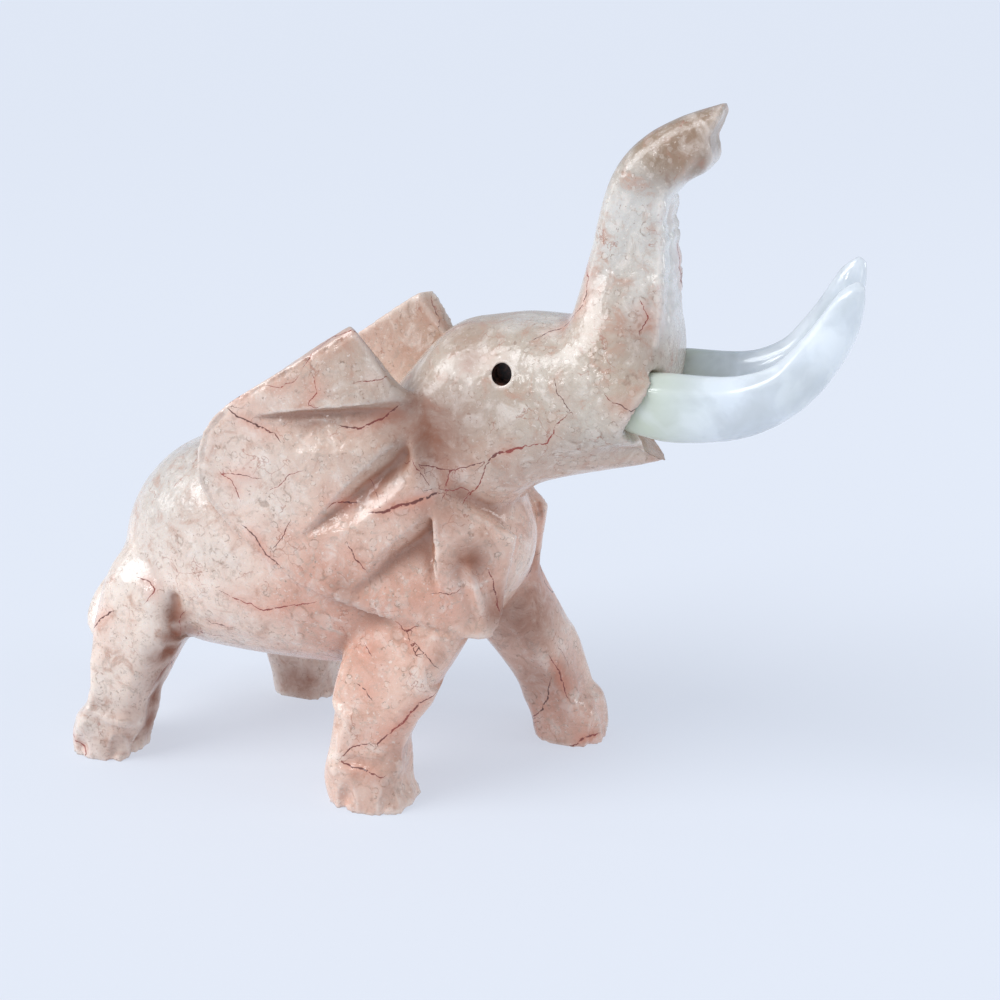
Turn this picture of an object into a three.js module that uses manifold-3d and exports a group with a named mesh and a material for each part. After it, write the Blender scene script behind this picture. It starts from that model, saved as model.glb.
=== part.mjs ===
// A carved elephant figurine with a raised trunk, from one block of polished stone, with two inset tusks.
// Millimetres, +Z up, the head towards +X, its left side towards +Y.
import * as THREE from 'three';
import { ConvexGeometry } from 'three/addons/geometries/ConvexGeometry.js';
import { TessellateModifier } from 'three/addons/modifiers/TessellateModifier.js';
import { mergeVertices } from 'three/addons/utils/BufferGeometryUtils.js';
import Module from 'manifold-3d';

// Driving dimensions, in millimetres
const figureHeight = 164;
const earThickness = 5.4;
const eyeBoreDiameter = 4.8;
const eyeBoreDepth = 5;
const rightTusk = { reach: 48.5, rise: 29.5 };
const leftTusk = { reach: 45.8, rise: 30.4 };
const tuskRootHeight = 16;
const tuskRootThickness = 9.2;
const socketClearance = 0.3;

// The form is proportioned in hundredths of the figure's height
const unit = figureHeight / 100;
const forward = new THREE.Vector3(1, 0, 0);
const down = new THREE.Vector3(0, 0, -1);

const wasm = await Module();
wasm.setup();

/** A point of the form, in hundredths of the height. */
function spot(x, y, z) {
  return new THREE.Vector3(x, y, z).multiplyScalar(unit);
}

/** Six times the volume inside a triangle mesh, below zero when its faces point in. */
function signedVolume(points, faces) {
  const corner = (i) => new THREE.Vector3().fromArray(points, faces[i] * 3);
  let total = 0;
  for (let i = 0; i < faces.length; i += 3) {
    total += corner(i).dot(corner(i + 1).cross(corner(i + 2)));
  }
  return total;
}

/** A solid for joining and cutting, from a closed geometry of either winding. */
function solidOf(geometry) {
  const bare = geometry.clone();
  bare.deleteAttribute('normal');
  bare.deleteAttribute('uv');
  const merged = mergeVertices(bare, 1e-4);
  const points = merged.getAttribute('position').array;
  const faces = Uint32Array.from(merged.index.array);
  if (signedVolume(points, faces) < 0) {
    for (let i = 0; i < faces.length; i += 3) {
      [faces[i], faces[i + 1]] = [faces[i + 1], faces[i]];
    }
  }
  return new wasm.Manifold(new wasm.Mesh({ numProp: 3, vertProperties: points, triVerts: faces }));
}

/** A named mesh from a finished solid. */
function meshOf(name, solid, material) {
  const result = solid.getMesh();
  const geometry = new THREE.BufferGeometry();
  geometry.setAttribute('position', new THREE.BufferAttribute(result.vertProperties, 3));
  geometry.setIndex(new THREE.BufferAttribute(result.triVerts, 1));
  geometry.computeVertexNormals();
  const mesh = new THREE.Mesh(geometry, material);
  mesh.name = name;
  return mesh;
}

/** One point of a rounded-box section: square 2 is an oval, larger is boxier. */
function sectionPoint(angle, wide, high, square) {
  const round = 2 / square;
  const c = Math.cos(angle);
  const s = Math.sin(angle);
  return [wide * Math.sign(c) * Math.abs(c) ** round, high * Math.sign(s) * Math.abs(s) ** round];
}

/**
 * A closed skin through rings along a spine. Each station has its place, half width, half height and squareness.
 * The rings stand square to the spine, or square to the level direction where one is given.
 */
function loft(stations, rings, around, level) {
  const spine = new THREE.CatmullRomCurve3(stations.map((s) => s.place));
  const sizes = new THREE.CatmullRomCurve3(stations.map((s) => new THREE.Vector3(s.wide, s.high, s.square)));
  const across = new THREE.Vector3(0, 1, 0);
  const points = [];
  for (let i = 0; i <= rings; i += 1) {
    const t = i / rings;
    const centre = spine.getPoint(t);
    const size = sizes.getPoint(t);
    const ahead = level ?? spine.getTangent(t);
    const side = across.clone().addScaledVector(ahead, -across.dot(ahead)).normalize();
    const up = new THREE.Vector3().crossVectors(ahead, side).normalize();
    for (let j = 0; j < around; j += 1) {
      const [a, b] = sectionPoint((2 * Math.PI * (j + 0.5)) / around, size.x, size.y, size.z);
      points.push(centre.clone().addScaledVector(side, a).addScaledVector(up, b));
    }
  }
  return skin(points, around);
}

/** The triangles of a skin whose points come ring by ring, closed by a fan at each end. */
function skin(points, around) {
  const rings = points.length / around;
  const faces = [];
  for (let i = 0; i < rings - 1; i += 1) {
    for (let j = 0; j < around; j += 1) {
      const a = i * around + j;
      const b = i * around + ((j + 1) % around);
      faces.push(a, b, b + around, a, b + around, a + around);
    }
  }
  for (const [first, flip] of [[0, true], [(rings - 1) * around, false]]) {
    const ring = points.slice(first, first + around);
    const middle = ring.reduce((sum, p) => sum.add(p), new THREE.Vector3()).divideScalar(around);
    const hub = points.push(middle) - 1;
    for (let j = 0; j < around; j += 1) {
      const a = first + j;
      const b = first + ((j + 1) % around);
      faces.push(hub, flip ? b : a, flip ? a : b);
    }
  }
  const geometry = new THREE.BufferGeometry().setFromPoints(points);
  geometry.setIndex(faces);
  return geometry;
}

/** A station of a level part of the form, from its top and bottom. */
function slice(x, top, bottom, wide, square) {
  const high = ((top - bottom) / 2) * unit;
  return { place: spot(x, 0, (top + bottom) / 2), wide: wide * unit, high, square };
}

/** A station of a limb or the trunk, with its half width and half length. */
function joint(x, y, z, wide, long, square) {
  return { place: spot(x, y, z), wide: wide * unit, high: long * unit, square };
}

/** A bar of constant profile across the figure, from corners in the side view. */
function crossBar(corners, halfWidth) {
  const profile = new THREE.Shape(corners.map(([x, z]) => new THREE.Vector2(x * unit, z * unit)));
  const bar = new THREE.ExtrudeGeometry(profile, { depth: 2 * halfWidth * unit, bevelEnabled: false });
  bar.rotateX(Math.PI / 2);
  bar.translate(0, halfWidth * unit, 0);
  return bar;
}

function torso() {
  const stations = [
    slice(-33.4, 33, 26, 3.6, 2),
    slice(-32.3, 38, 21.5, 8, 2.1),
    slice(-29.6, 42.6, 18.5, 11.4, 2.2),
    slice(-25.6, 46.4, 17, 13.9, 2.3),
    slice(-19, 49.6, 16.2, 16.4, 2.5),
    slice(-10, 52.5, 16, 17.7, 2.5),
    slice(0, 54, 16, 17.6, 2.5),
    slice(10, 56, 16.5, 16, 2.4),
    slice(19, 55, 19, 13.6, 2.3),
    slice(26, 49, 25, 11, 2.2),
    slice(30, 43.5, 30.5, 6.4, 2),
    slice(31.4, 40, 34.5, 2.5, 2),
  ];
  return loft(stations, 22, 28, forward);
}

function head() {
  const stations = [
    slice(2, 52, 34, 9, 2),
    slice(9, 56.8, 36, 10.8, 2),
    slice(16, 65, 39.5, 11.4, 2.1),
    slice(21, 69.3, 41.5, 11.4, 2.3),
    slice(28, 70.7, 43, 11.3, 2.4),
    slice(34, 70.9, 48, 11.2, 2.5),
    slice(40, 70.4, 52, 11.1, 2.5),
    slice(46, 69.2, 54, 11, 2.7),
    slice(51.6, 67, 55.5, 10.8, 2.6),
  ];
  return loft(stations, 20, 26, forward);
}

function lowerJaw() {
  const stations = [
    slice(28, 58, 44, 8.4, 2.3),
    slice(34, 58, 47.4, 8.6, 2.3),
    slice(40, 60, 49.2, 7.8, 2.2),
    slice(46, 60, 50.4, 4.6, 2),
    slice(50.8, 57, 51.8, 1, 2),
  ];
  return loft(stations, 8, 16, forward);
}

/** The notch in the profile where the face slopes back to the mouth and the lower lip slopes forward. */
function mouthNotch() {
  return crossBar([[52.8, 67.8], [46.8, 57.7], [50.3, 53.3], [50.8, 51.4], [62, 50], [62, 67.8]], 14);
}

/** The hollow between the trunk's root and the lower lip. */
function mouthHollow() {
  return crossBar([[54, 61.5], [43.5, 57.6], [43.5, 56], [54, 53.2]], 3.6);
}

function trunk() {
  const stations = [
    joint(43.5, 0, 61, 10.2, 7.8, 2.8),
    joint(44.2, 0, 66, 10.2, 8.2, 2.8),
    joint(44.7, 0, 70, 9, 7.6, 2.8),
    joint(45, 0, 74.6, 6.6, 6.5, 2.9),
    joint(45.4, 0, 80, 5, 5.6, 3),
    joint(45.6, 0, 85, 4.6, 4.7, 3),
    joint(46.6, 0, 89.2, 4.4, 4.3, 2.8),
    joint(49.3, 0, 92.3, 4.2, 4.1, 2.6),
    joint(53.2, 0, 94.5, 3.9, 3.9, 2.5),
    joint(58.6, 0, 96.4, 3.2, 3.7, 2.4),
  ];
  return loft(stations, 27, 18);
}

/** What is cut away past the end of the trunk: a finger above, the cleft of the nostrils, a lip below. */
function trunkEnd() {
  return crossBar([[56.8, 102], [56.9, 98.7], [55.4, 95.4], [56, 92.9], [54.4, 90.2], [64, 86], [64, 102]], 8);
}

/** Shallow steps across the front of the trunk. */
function trunkSteps() {
  const levels = [70.3, 75.2, 79.8, 83.6];
  const fronts = [52.3, 51.9, 51.1, 50.6];
  return levels.map((z, i) => {
    const x = fronts[i];
    return crossBar([[x + 3, z - 1.9], [x + 0.3, z - 1.9], [x - 0.7, z], [x + 0.3, z + 2.3], [x + 3, z + 2.3]], 8);
  });
}

/** Each leg is one row of stations from hip to sole. */
const legs = [
  [
    joint(-22, -6, 38, 4, 5, 2.2),
    joint(-25, -9.4, 30, 7, 7.6, 2.6),
    joint(-25.7, -10.4, 23.5, 7.8, 8.2, 3.4),
    joint(-28.1, -11.4, 17, 7.2, 5.7, 3.9),
    joint(-30.5, -13.1, 10, 5.8, 4.6, 3.7),
    joint(-32.8, -14.2, 4.5, 5.6, 5.8, 2.9),
    joint(-33.6, -14.3, 0, 5.6, 5.4, 2.7),
  ],
  [
    joint(-23, 6, 38, 4, 5, 2.2),
    joint(-21, 9.4, 30, 7, 7.8, 2.6),
    joint(-19.2, 10.4, 23.5, 7.8, 7.1, 3.4),
    joint(-16.2, 12, 17, 6.8, 5.6, 3.8),
    joint(-14.4, 13.8, 10, 5.6, 4.8, 3.6),
    joint(-13.8, 15, 4.5, 5.6, 5.6, 2.9),
    joint(-13.6, 15.2, 0, 5.6, 5.6, 2.7),
  ],
  [
    joint(17.5, -6.5, 37, 6, 9, 2.3),
    joint(16.5, -8.6, 27, 6.6, 9.2, 2.8),
    joint(13.7, -12, 17.5, 6.2, 7.2, 3.2),
    joint(11.4, -13.8, 9, 5.5, 5.6, 3.4),
    joint(11, -14.6, 4, 5.8, 6.2, 2.9),
    joint(12, -14.8, 0, 5.8, 6.6, 2.7),
  ],
  [
    joint(18, 6.5, 37, 6, 9, 2.3),
    joint(22.3, 8.6, 27, 6.6, 8, 2.8),
    joint(27.2, 12, 17.5, 6.2, 6.3, 3.2),
    joint(31, 13.8, 9, 5.4, 5, 3.4),
    joint(33, 14.4, 4, 5.6, 5.8, 2.9),
    joint(33.6, 14.4, 0, 5.6, 5.8, 2.7),
  ],
];

function leg(stations) {
  return loft(stations, 13, 18, down);
}

/** The scoops between the toes of a foot, cut from its sole upwards and arched at the top. */
function toeScoops(stations) {
  const sole = stations[stations.length - 1];
  const outer = Math.sign(sole.place.y);
  const turns = [104, 58, 10, -40];
  const deep = unit;
  const half = 2.4 * unit;
  const proud = 0.7 * unit;
  const low = -unit;
  const shoulder = 2.6 * unit;
  const top = 4.4 * unit;
  return turns.map((turn) => {
    const angle = THREE.MathUtils.degToRad(turn * outer);
    const [aside, ahead] = sectionPoint(Math.PI / 2 - angle, sole.wide, sole.high, sole.square);
    const edge = new THREE.Vector3(sole.place.x + ahead, sole.place.y + aside, 0);
    const out = new THREE.Vector3(Math.cos(angle), Math.sin(angle), 0);
    const along = new THREE.Vector3(-out.y, out.x, 0);
    return new ConvexGeometry([
      edge.clone().addScaledVector(out, -deep).setZ(low),
      edge.clone().addScaledVector(out, -deep).setZ(shoulder),
      edge.clone().addScaledVector(out, proud).addScaledVector(along, half).setZ(low),
      edge.clone().addScaledVector(out, proud).addScaledVector(along, -half).setZ(low),
      edge.clone().addScaledVector(out, proud).addScaledVector(along, half * 0.7).setZ(shoulder),
      edge.clone().addScaledVector(out, proud).addScaledVector(along, -half * 0.7).setZ(shoulder),
      edge.clone().addScaledVector(out, proud).setZ(top),
    ]);
  });
}

function tail() {
  const stations = [
    joint(-29, 0, 38, 1.4, 2.6, 2.2),
    joint(-32.6, 0, 32, 2, 2.6, 2.2),
    joint(-35.2, -2, 26, 2.4, 3, 2.2),
    joint(-37, -5, 21.5, 3, 3.4, 2.3),
    joint(-36.6, -7.5, 18.3, 3.6, 3.6, 2.4),
    joint(-35, -9, 14.8, 2.4, 2.4, 2.2),
  ];
  return loft(stations, 12, 10, down);
}

/** How far an ear's outer face stands from the middle of the figure: it bows and leans. */
function earSpread(x, z) {
  const back = 11 - x;
  return 15.7 + 0.22 * back - 0.0055 * back ** 2 + 0.06 * (50 - z);
}

/** A point of an ear: along and up in the side view, and how deep below its outer face. */
function onEar(side, x, z, deep) {
  return spot(x, side * (earSpread(x, z) - deep), z);
}

function earOutline() {
  const outline = new THREE.Shape();
  outline.moveTo(10.2, 69.8);
  outline.quadraticCurveTo(10.9, 70.4, 11.4, 69.6);
  outline.lineTo(15.2, 63.5);
  outline.quadraticCurveTo(16.4, 61.4, 19, 60.8);
  outline.lineTo(24, 46);
  outline.lineTo(31.5, 40.5);
  outline.lineTo(30.2, 33.7);
  outline.lineTo(29.6, 28.6);
  outline.quadraticCurveTo(29.2, 25.8, 27.4, 26);
  outline.lineTo(16.5, 28.8);
  outline.quadraticCurveTo(8.5, 30.8, 2.4, 33.8);
  outline.lineTo(-5.8, 39.5);
  outline.quadraticCurveTo(-12.6, 44.5, -12.9, 49);
  outline.quadraticCurveTo(-12.8, 55.2, -7.2, 59.1);
  return outline;
}

function earPlate(side) {
  const longestEdge = 12;
  const flat = new THREE.ExtrudeGeometry(earOutline(), { depth: 1, bevelEnabled: false, curveSegments: 4 });
  const plate = new TessellateModifier(longestEdge, 6).modify(flat);
  const corners = plate.getAttribute('position');
  for (let i = 0; i < corners.count; i += 1) {
    const inner = corners.getZ(i);
    const lean = inner * Math.max(0, corners.getY(i) - 60) * 0.2;
    const point = onEar(side, corners.getX(i) - lean, corners.getY(i), (inner * earThickness) / unit);
    corners.setXYZ(i, ...point);
  }
  return plate;
}

const flutes = [
  { valley: [[18.5, 58.8, 2.1], [2.8, 56.2, 1.3]], rim: [[19, 60.8], [10, 59.2], [-7, 57.4], [1.5, 52.6], [19, 54]] },
  { valley: [[18, 53.6, 2.9], [11.5, 48.1, 2.4]], rim: [[18, 56.6], [10.4, 50], [1.8, 39.9], [9.7, 42.2], [18, 49]] },
  { valley: [[21.4, 43.2, 2.6], [16, 38.4, 2.2]], rim: [[20.6, 45.2], [13.6, 38.8], [9.4, 32.2], [21.6, 32]] },
];

/** A wedge that cuts one flute: its valley below the ear's face, its rim on it, and the space above. */
function fluteWedge(side, { valley, rim }) {
  const above = 2;
  const points = valley.map(([x, z, deep]) => onEar(side, x, z, deep));
  for (const [x, z] of rim) {
    points.push(onEar(side, x, z, 0), onEar(side, x, z, -above));
  }
  return new ConvexGeometry(points);
}

/** Bevels where an ear's front edge runs into the cheek and down the front of its lower flap. */
const frontBevels = [
  { back: [[15, 64], [20.4, 45.5]], front: [[21, 64], [26.4, 46]], deep: 3 },
  { back: [[19.4, 47], [28, 38.6]], front: [[24.6, 52], [34, 42.6]], deep: 2.6 },
  { back: [[25.8, 41.5], [28.4, 25.5]], front: [[33.5, 41.5], [30.6, 25.5]], deep: 2.2 },
];

function frontBevel(side, { back, front, deep }) {
  const above = 2;
  const points = [];
  for (const [x, z] of back) {
    points.push(onEar(side, x, z, 0), onEar(side, x, z, -above));
  }
  for (const [x, z] of front) {
    points.push(onEar(side, x, z, deep), onEar(side, x, z, -above));
  }
  return new ConvexGeometry(points);
}

function bevelledEar(side) {
  const bevels = frontBevels.map((bevel) => solidOf(frontBevel(side, bevel)));
  return bevels.reduce((rest, cut) => rest.subtract(cut), solidOf(earPlate(side)));
}

/** The blind hole drilled for an eye. */
function eyeBore(side) {
  const bore = new THREE.CylinderGeometry(eyeBoreDiameter / 2, eyeBoreDiameter / 2, 2 * eyeBoreDepth, 20);
  bore.translate(29.8 * unit, side * 11 * unit, 64.6 * unit);
  return bore;
}

/** A tusk along its own spine, from the root centre at the origin, larger by the margin all round. */
function tusk({ reach, rise }, margin) {
  const spine = [
    [0, 0.01, 0.84],
    [0.09, 0, 0.9],
    [0.2, -0.01, 0.98],
    [0.363, 0, 0.94],
    [0.54, 0.05, 0.86],
    [0.725, 0.217, 0.73],
    [0.84, 0.45, 0.66],
    [0.915, 0.667, 0.57],
    [0.96, 0.87, 0.42],
    [1, 1, 0.16],
  ];
  const stations = spine.map(([along, up, share]) => ({
    place: new THREE.Vector3(along * reach, 0, up * rise),
    wide: (share * tuskRootThickness) / 2 + margin,
    high: (share * tuskRootHeight) / 2 + margin,
    square: 2.1,
  }));
  return loft(stations, 20, 14);
}

/** Where each tusk's root sits in the head. */
function seatTusk(geometry, side) {
  geometry.translate(46.5 * unit, side * 7.4 * unit, 61.5 * unit);
  return geometry;
}

function elephantSolid() {
  const core = [torso(), head(), lowerJaw()].map(solidOf).reduce((sum, next) => sum.add(next));
  const limbs = [trunk(), tail(), ...legs.map(leg)].map(solidOf);
  const cuts = [mouthHollow(), trunkEnd(), ...trunkSteps(), ...legs.flatMap(toeScoops)];
  for (const side of [-1, 1]) {
    cuts.push(...flutes.map((flute) => fluteWedge(side, flute)), eyeBore(side));
  }
  cuts.push(seatTusk(tusk(rightTusk, socketClearance), -1), seatTusk(tusk(leftTusk, socketClearance), 1));
  let whole = core.subtract(solidOf(mouthNotch()));
  for (const added of [bevelledEar(-1), bevelledEar(1), ...limbs]) {
    whole = whole.add(added);
  }
  for (const cut of cuts.map(solidOf)) {
    whole = whole.subtract(cut);
  }
  return whole;
}

const stone = new THREE.MeshStandardMaterial({ color: 0xd9b8a6, roughness: 0.2, metalness: 0 });
const paleStone = new THREE.MeshStandardMaterial({ color: 0xdfeadf, roughness: 0.15, metalness: 0 });

const figurine = new THREE.Group();
figurine.add(meshOf('elephant', elephantSolid(), stone));
figurine.add(meshOf('tusk_right', solidOf(seatTusk(tusk(rightTusk, 0), -1)), paleStone));
figurine.add(meshOf('tusk_left', solidOf(seatTusk(tusk(leftTusk, 0), 1)), paleStone));

// The origin is on the ground, under the middle of the whole figure
const extent = new THREE.Box3().setFromObject(figurine);
const middle = extent.getCenter(new THREE.Vector3());
figurine.position.set(-middle.x, -middle.y, -extent.min.z);

export default figurine;
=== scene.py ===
"""Looks of a carved and polished stone elephant with a raised trunk and two inset pale tusks."""
import math

import bmesh
import bpy
import numpy as np
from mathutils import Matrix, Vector
from mathutils.bvhtree import BVHTree
from mathutils.kdtree import KDTree


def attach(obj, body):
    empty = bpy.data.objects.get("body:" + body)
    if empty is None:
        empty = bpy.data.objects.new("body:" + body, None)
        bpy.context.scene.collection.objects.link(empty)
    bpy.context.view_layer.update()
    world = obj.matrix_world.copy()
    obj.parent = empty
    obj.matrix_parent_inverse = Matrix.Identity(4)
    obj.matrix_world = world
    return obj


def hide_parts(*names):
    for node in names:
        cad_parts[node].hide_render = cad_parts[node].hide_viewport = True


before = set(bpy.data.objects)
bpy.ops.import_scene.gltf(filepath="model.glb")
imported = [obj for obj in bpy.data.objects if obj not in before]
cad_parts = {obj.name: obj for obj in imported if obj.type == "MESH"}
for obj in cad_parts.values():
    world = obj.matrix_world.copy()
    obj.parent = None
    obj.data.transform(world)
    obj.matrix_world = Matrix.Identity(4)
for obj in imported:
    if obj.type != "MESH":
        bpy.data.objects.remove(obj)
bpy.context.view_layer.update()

MM = 0.001
UNIT = 1.64 * MM                     # a hundredth of the figure's height
SHIFT = 28.85 * MM                   # from the carver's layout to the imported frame, along X

# The photograph's camera
VIEW_TARGET = Vector((14.95, -3.65, 72)) * MM
VIEW_YAW = math.radians(19.5)
VIEW_PITCH = math.radians(19)
VIEW_DISTANCE = 352.5 * MM
SENSOR = 36
LENS = 54
PHOTO_SIZE = 1000

# The fineness of the meshes and their polish
WELD = 0.01 * MM                     # vertices closer than this become one
STONE_CELL = 0.82 * MM
TUSK_CELL = 0.5 * MM
STONE_ROUNDS = 40
TUSK_ROUNDS = 60
POLISH = 0.6                         # how far one round moves a vertex towards its neighbours' mean
SOLE_LAYER = 0.4 * MM                # below this the flat soles begin
SOLE_POLISH = 0.1                    # the share of the polish that they get

# The drilled eyes
EYE_X = 29.8 * UNIT - SHIFT
EYE_Z = 64.6 * UNIT
EYE_RADIUS = 2.4 * MM
EYE_LENGTH = 12 * MM
EYE_FLOOR = 13.2 * MM                # the bottom of a hole, from the figure's middle plane
PLUG_RADIUS = 1.75 * UNIT
PLUG_LENGTH = 3.4 * UNIT

TUSK_RIDGE = 0.6 * MM                # how far the ridge along a tusk's outer face stands out


def photo_camera():
    """The camera at the photograph's viewing angle."""
    data = bpy.data.cameras.new("photo_camera")
    data.sensor_fit = "HORIZONTAL"
    data.sensor_width = SENSOR
    data.lens = LENS
    data.clip_start = 0.01
    camera = bpy.data.objects.new("photo_camera", data)
    bpy.context.scene.collection.objects.link(camera)
    level = math.cos(VIEW_PITCH)
    away = Vector((math.sin(VIEW_YAW) * level, -math.cos(VIEW_YAW) * level, math.sin(VIEW_PITCH)))
    camera.location = VIEW_TARGET + away * VIEW_DISTANCE
    camera.rotation_euler = (-away).to_track_quat("-Z", "Y").to_euler()
    bpy.context.scene.camera = camera
    return camera


def view_ray(camera, pixel):
    """The direction from the camera through one pixel of the photograph."""
    x, y = pixel
    half = PHOTO_SIZE / 2
    focal = LENS / SENSOR * PHOTO_SIZE
    local = Vector(((x - half) / focal, (half - y) / focal, -1))
    return (camera.rotation_euler.to_matrix() @ local).normalized()


# Meshes as arrays

def points_of(mesh):
    """The vertices of a mesh as rows."""
    flat = np.empty(len(mesh.vertices) * 3)
    mesh.vertices.foreach_get("co", flat)
    return flat.reshape(-1, 3)


def put_points(mesh, points):
    """Moves the vertices of a mesh."""
    mesh.vertices.foreach_set("co", points.ravel())
    mesh.update()


def normals_of(mesh):
    """The vertex normals of a mesh as rows."""
    flat = np.empty(len(mesh.vertices) * 3)
    mesh.vertex_normals.foreach_get("vector", flat)
    return flat.reshape(-1, 3)


class Web:
    """The edges of a mesh, for averaging over neighbours."""

    def __init__(self, mesh):
        pairs = np.empty(len(mesh.edges) * 2, dtype=np.int64)
        mesh.edges.foreach_get("vertices", pairs)
        pairs = pairs.reshape(-1, 2)
        self.start = np.concatenate([pairs[:, 0], pairs[:, 1]])
        self.end = np.concatenate([pairs[:, 1], pairs[:, 0]])
        self.count = len(mesh.vertices)
        self.degree = np.maximum(np.bincount(self.start, minlength=self.count), 1)

    def mean(self, values):
        """The mean of each vertex's neighbours."""
        if values.ndim == 1:
            return np.bincount(self.start, values[self.end], self.count) / self.degree
        return np.stack([self.mean(column) for column in values.T], axis=1)

    def relax(self, values, weight, rounds):
        """Moves each value towards its neighbours' mean, again and again."""
        part = weight if values.ndim == 1 else weight[:, None]
        for _ in range(rounds):
            values = values + part * (self.mean(values) - values)
        return values


def smooth_form(points, web, weight, rounds):
    """Takes the facets off a form, and gives back the volume that plain averaging would lose."""
    first = web.relax(points, weight, rounds)
    return first + web.relax(points - first, weight, rounds)


def dense_copy(node_name, name, cell, plugs=()):
    """A fine mesh of a CAD node, as cells of one size."""
    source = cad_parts[node_name]
    work = bmesh.new()
    work.from_mesh(source.data)
    work.transform(source.matrix_world)
    bmesh.ops.remove_doubles(work, verts=work.verts, dist=WELD)
    for plug in plugs:
        plug(work)
    mesh = bpy.data.meshes.new(name)
    work.to_mesh(mesh)
    work.free()
    piece = bpy.data.objects.new(name, mesh)
    bpy.context.scene.collection.objects.link(piece)
    remesh = piece.modifiers.new("cells", "REMESH")
    remesh.mode = "VOXEL"
    remesh.voxel_size = cell
    shown = piece.evaluated_get(bpy.context.evaluated_depsgraph_get())
    fine = bpy.data.meshes.new_from_object(shown)
    piece.modifiers.clear()
    piece.data = fine
    bpy.data.meshes.remove(mesh)
    return piece


def shade_smooth(mesh):
    """Shades every face of a mesh smoothly."""
    mesh.polygons.foreach_set("use_smooth", np.ones(len(mesh.polygons), dtype=bool))


# The stone body

def layout(points):
    """Vertices in the carver's layout: hundredths of the height, the shoulders near x 10."""
    spots = points / UNIT
    spots[:, 0] += SHIFT / UNIT
    return spots


def step(low, high, value):
    """A soft step from 0 at low to 1 at high."""
    t = np.clip((value - low) / (high - low), 0, 1)
    return t * t * (3 - 2 * t)


def near(value, centre, width):
    """A soft bump around a value."""
    return np.exp(-((value - centre) / width) ** 2)


# An ear's outer face, in layout units: its distance from the middle, and how it changes
EAR_ROOT_X = 11
EAR_MIDDLE_Z = 50
EAR_SPREAD = 15.7
EAR_SWEEP = 0.22
EAR_BOW = 0.0055
EAR_LEAN = 0.06


def ear_spread(x, z):
    """How far an ear's outer face stands from the middle, in layout units."""
    back = EAR_ROOT_X - x
    return EAR_SPREAD + EAR_SWEEP * back - EAR_BOW * back ** 2 + EAR_LEAN * (EAR_MIDDLE_Z - z)


# The outline of an ear seen from the side, in layout units
EAR = (
    (10.2, 69.8), (11, 70.2), (11.4, 69.6), (15.2, 63.5), (16.6, 61.8), (19, 60.8), (24, 46),
    (31.5, 40.5), (30.2, 33.7), (29.6, 28.6), (28.9, 26.5), (27.4, 26), (16.5, 28.8), (8.9, 31),
    (2.4, 33.8), (-5.8, 39.5), (-11, 44.3), (-12.9, 49), (-11.4, 54.8), (-7.2, 59.1),
)


def inside_ear(x, z):
    """How far inside an ear's outline each place is, negative outside it."""
    away = np.full(len(x), np.inf)
    inside = np.zeros(len(x), dtype=bool)
    for (ax, az), (bx, bz) in zip(EAR, EAR[1:] + EAR[:1]):
        run, rise = bx - ax, bz - az
        along = ((x - ax) * run + (z - az) * rise) / (run ** 2 + rise ** 2)
        along = np.clip(along, 0, 1)
        away = np.minimum(away, np.hypot(x - ax - along * run, z - az - along * rise))
        crossed = ((az > z) != (bz > z)) & (x < ax + (z - az) * run / rise)
        inside ^= crossed
    return np.where(inside, away, -away)


# How much of the polish's rounding each carved part escapes
CRISP_EAR = 0.97
CRISP_FEET = 0.6
CRISP_LEGS = 0.62
CRISP_TIP = 0.9
CRISP_MOUTH = 0.92
ROOT_SOFTNESS = 0.8                  # how far the root of an ear is rounded all the same


def polish_weight(spots):
    """How far each place has been rounded: much on the limbs and body, little on the crisp carving."""
    x, y, z = spots.T
    depth = ear_spread(x, z) - np.abs(y)
    within = inside_ear(x, z)
    ear = step(-2, -1, depth) * step(5, 4, depth) * step(-1.6, -0.8, within)
    root = step(13, 19, x) * step(27, 24, x) * step(42, 48, z)
    feet = step(7, 5, z)
    legs = step(31, 25, z)
    tip = step(84, 88, z) * step(48, 52, x)
    mouth = step(44, 47, x) * step(66, 63, z) * step(46, 49, z)
    crisp = np.maximum.reduce([
        CRISP_EAR * ear * (1 - ROOT_SOFTNESS * root),
        CRISP_FEET * feet,
        CRISP_LEGS * legs,
        CRISP_TIP * tip,
        CRISP_MOUTH * mouth,
    ])
    return POLISH * (1 - crisp)


BEVEL = 0.4                          # how far an ear's outer face falls at its rim, in layout units

# Each flute of an ear: the deepest places and the rim, in layout units
FLUTES = (
    (((18.5, 58.8, 2.1), (2.8, 56.2, 1.3)), ((19, 60.8), (10, 59.2), (-7, 57.4), (1.5, 52.6), (19, 54))),
    (((18, 53.6, 2.9), (11.5, 48.1, 2.4)), ((18, 56.6), (10.4, 50), (1.8, 39.9), (9.7, 42.2), (18, 49))),
    (((21.4, 43.2, 2.6), (16, 38.4, 2.2)), ((20.6, 45.2), (13.6, 38.8), (9.4, 32.2), (21.6, 32))),
)


def facet_depth(x, z, valley, rim):
    """The depth of a faceted hollow that falls from its rim to its valley."""
    middle = np.mean(rim, axis=0)
    depth = np.full(x.shape, np.inf)
    for start, end in zip(rim, rim[1:] + rim[:1]):
        start, end = np.array(start), np.array(end)
        across = np.array([start[1] - end[1], end[0] - start[0]])
        across = across / np.linalg.norm(across)
        if across @ (middle - start) < 0:
            across = -across
        falls = [deep / max(across @ (np.array([px, pz]) - start), 0.01) for px, pz, deep in valley]
        depth = np.minimum(depth, max(falls) * (across[0] * (x - start[0]) + across[1] * (z - start[1])))
    return np.maximum(depth, 0)


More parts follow.
